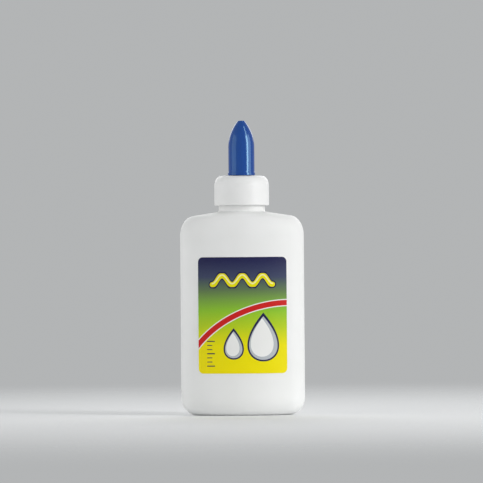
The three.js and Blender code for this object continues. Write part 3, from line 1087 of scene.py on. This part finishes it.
def printed_shapes(x, y):
    """Distances from the printed shapes with their inks, from the lowest layer up."""
    shapes = [
        (ribbon_distance(x, y, RIBBON_HALF + RIBBON_BORDER), INK_WHITE),
        (ribbon_distance(x, y, RIBBON_HALF), INK_RED),
        (squiggle_distance(x, y, SQUIGGLE_MIDDLE, SQUIGGLE_HALF + SQUIGGLE_BORDER), INK_NAVY),
        (squiggle_distance(x, y, SQUIGGLE_MIDDLE, SQUIGGLE_HALF), INK_YELLOW),
        (squiggle_distance(x, y, SQUIGGLE_MIDDLE + GLINT_RISE, GLINT_HALF), INK_CREAM),
    ]
    for ink, middle, foot, height, half in DROPS:
        shapes.append((drop_distance(x - middle, y, foot, height, half), ink))
    for spacing, half, end in SCALE_MARKS:
        shapes.append((mark_distance(x, y, spacing, half, end), INK_NAVY))
    return shapes


def gradient_colour(tree, down):
    """Socket of the colour behind the shapes, at a share of the way down the label."""
    ramp = tree.nodes.new("ShaderNodeValToRGB")
    stops = ramp.color_ramp.elements
    while len(stops) < len(GRADIENT):
        stops.new(1)
    for stop, (position, ink) in zip(stops, GRADIENT):
        stop.position = position
        stop.color = opaque(ink)
    connect(tree, down, ramp.inputs["Fac"])
    return ramp.outputs["Color"]


def printed_film():
    """Satin print on the label's face."""
    look = Look("label_print", IOR=1.48, Specular_IOR_Level=0.12)
    place = look.tree.nodes.new("ShaderNodeUVMap")
    place.uv_map = LABEL_MAP
    split = look.tree.nodes.new("ShaderNodeSeparateXYZ")
    look.tree.links.new(place.outputs["UV"], split.inputs["Vector"])
    x = (Field(look.tree, split.outputs["X"]) - MAP_MIDDLE) * LABEL_WIDTH
    up = Field(look.tree, split.outputs["Y"])
    y = up * float(label_top - label_bottom)
    colour = gradient_colour(look.tree, up * -1 + 1)
    for distance, ink in printed_shapes(x, y):
        colour = look.mixed(colour, opaque(ink), covered(distance))
    speck = look.noise(scale=6000)
    worn = look.mixed(colour, opaque(INK_WHITE), speck.ranged(WEAR_NOISE, (0, WEAR)))
    connect(look.tree, worn, look.shader.inputs["Base Color"])
    look.roughness(look.noise(scale=300), BROAD_NOISE, low=0.38, high=0.48)
    look.relief(speck, depth=0.008)
    return look.material


# Stage, light and camera

PAPER_GREY = (0.45, 0.46, 0.465)
ROOM_LIGHT = 0.662
FLOOR_REACH = 1600
FLOOR_INNER = 160
FLOOR_ROWS = 6
FLOOR_COLUMNS = 64
FLOOR_DROP = 0.02
FLOOR_FADE = 600
CAMERA_DISTANCE = 2500
MILLIMETRES_PER_PIXEL = 0.485
PHOTO_PIXELS = 483
VIEW_HEIGHT = 84
VIEW_OFFSET = -0.25
CAMERA_ROLL = math.radians(0.45)
# Sensor width, which Blender takes in millimetres
SENSOR = 36
# Soft panels: name, azimuth and elevation in degrees, distance, width, height, watts, mirrored by gloss
PANELS = (
    ("key_panel", 74, 13, 900, 560, 620, 1.95, True),
    ("key_strip", 55, 15, 880, 220, 620, 2.9, True),
    ("upper_panel", 58, 47, 900, 140, 360, 0.6, True),
    ("left_panel", -68, 7, 900, 1500, 1600, 4.4, False),
    ("left_strip", -71, 5, 880, 720, 900, 1.4, True),
    ("back_panel", 180, 27, 900, 1100, 600, 3.2, True),
)


def floor_paper():
    """Pale paper that clears into the plain background away from the bottle."""
    look = Look("floor_paper", Roughness=0.8)
    look.colour(FLOOR_WHITES, look.noise(scale=700, detail=3))
    nodes, links = look.tree.nodes, look.tree.links
    length = nodes.new("ShaderNodeVectorMath")
    length.operation = "LENGTH"
    links.new(look.place(), length.inputs[0])
    away = Field(look.tree, length.outputs["Value"]).ranged((0, FLOOR_FADE * MM), WHOLE, gently=True)
    clear = nodes.new("ShaderNodeBsdfTransparent")
    mix = nodes.new("ShaderNodeMixShader")
    connect(look.tree, away, mix.inputs["Fac"])
    for surface, slot in zip((look.shader, clear), mix.inputs[1:]):
        links.new(surface.outputs["BSDF"], slot)
    links.new(mix.outputs["Shader"], nodes["Material Output"].inputs["Surface"])
    return look.material


def make_floor():
    radii = np.linspace(FLOOR_INNER, FLOOR_REACH, FLOOR_ROWS)
    rows = turned(np.stack([radii, np.full(FLOOR_ROWS, -FLOOR_DROP)], axis=-1), FLOOR_COLUMNS)
    points = np.concatenate([rows.reshape(-1, 3), [[0, 0, -FLOOR_DROP]]])
    faces = [face[::-1] for face in ring_faces(FLOOR_ROWS, FLOOR_COLUMNS)]
    centre = len(points) - 1
    faces += [[centre, here, (here + 1) % FLOOR_COLUMNS] for here in range(FLOOR_COLUMNS)]
    floor = mesh_object("floor", points, faces)
    floor.data.materials.append(floor_paper())


def make_world():
    """A dim room, with a pale background where the camera, a reflection or a clear surface shows it."""
    world = bpy.data.worlds.new("pale_room")
    world.use_nodes = True
    tree = world.node_tree
    rays = tree.nodes.new("ShaderNodeLightPath").outputs
    seen = Field(tree, rays["Is Camera Ray"]).most(rays["Is Glossy Ray"]).most(rays["Is Transmission Ray"])
    background = tree.nodes["Background"]
    background.inputs["Color"].default_value = opaque(PAPER_GREY)
    connect(tree, seen.ranged(WHOLE, (ROOM_LIGHT, 1)), background.inputs["Strength"])
    bpy.context.scene.world = world


def make_light(name, azimuth, elevation, distance, width, height, power, mirrored):
    """A soft panel that faces the bottle, which only fills where it is not mirrored. Azimuth 0 is the
    camera's side and 90 the right-hand side."""
    light = bpy.data.lights.new(name, "AREA")
    light.shape = "RECTANGLE"
    light.size = width * MM
    light.size_y = height * MM
    light.energy = power
    lamp = bpy.data.objects.new(name, light)
    turn, tilt = math.radians(azimuth), math.radians(elevation)
    lamp.location = (
        distance * math.sin(turn) * math.cos(tilt) * MM,
        -distance * math.cos(turn) * math.cos(tilt) * MM,
        (VIEW_HEIGHT + distance * math.sin(tilt)) * MM,
    )
    lamp.rotation_euler = (QUARTER - tilt, 0, turn)
    lamp.visible_camera = False
    lamp.visible_glossy = mirrored
    bpy.context.scene.collection.objects.link(lamp)


def make_camera():
    lens = bpy.data.cameras.new("camera")
    lens.sensor_width = SENSOR
    lens.lens = SENSOR * CAMERA_DISTANCE / (PHOTO_PIXELS * MILLIMETRES_PER_PIXEL)
    camera = bpy.data.objects.new("camera", lens)
    camera.location = (VIEW_OFFSET * MM, -CAMERA_DISTANCE * MM, VIEW_HEIGHT * MM)
    camera.rotation_euler = (QUARTER, CAMERA_ROLL, 0)
    bpy.context.scene.collection.objects.link(camera)
    bpy.context.scene.camera = camera


make_bottle()
make_glue()
make_label()
make_cap()
make_liner()
make_nozzle()
make_floor()
make_world()
for panel in PANELS:
    make_light(*panel)
make_camera()

bpy.context.scene.view_settings.view_transform = "Standard"
